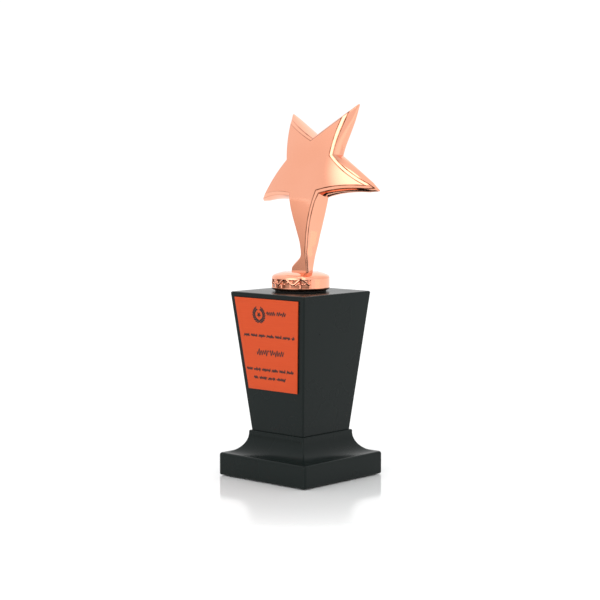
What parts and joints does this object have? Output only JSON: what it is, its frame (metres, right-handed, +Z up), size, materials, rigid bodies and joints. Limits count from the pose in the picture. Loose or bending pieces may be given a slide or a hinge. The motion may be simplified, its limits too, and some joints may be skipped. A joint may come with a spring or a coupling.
{
  "type": "star trophy",
  "caption": "Copper-plated star figure leaning back on a single leg and a round disc, above a tapered black lacquered column with a name plate and a coved square plinth.",
  "frame": {"origin": "centre of the underside of the base pad", "axes": "+Z up through the column and disc, -Y towards the front with the name plate, +X to the right seen from the front"},
  "size_m": [0.1116, 0.0806, 0.2536],
  "materials": {
    "copper_plating": "mirror-polished rose copper plating",
    "black_lacquer": "gloss black lacquer on wood",
    "orange_plate": "orange anodised sheet with black print",
    "zinc_steel": "zinc plated",
    "black_fibre": "matt black fibre sheet",
    "beech": "bare turned beech",
    "adhesive_tape": "white foam tape"
  },
  "bodies": {
    "root": {"base_pad": "black_fibre", "plinth": "black_lacquer", "column": "black_lacquer", "column_dowel_left": "beech", "column_dowel_right": "beech", "plate_adhesive": "adhesive_tape", "name_plate": "orange_plate", "hex_nut": "zinc_steel", "spring_washer": "zinc_steel", "flat_washer": "zinc_steel", "threaded_rod": "zinc_steel", "disc_washer": "black_fibre", "figure_disc": "copper_plating", "star_figure": "copper_plating", "star_back_cover": "copper_plating"}
  },
  "joints": []
}
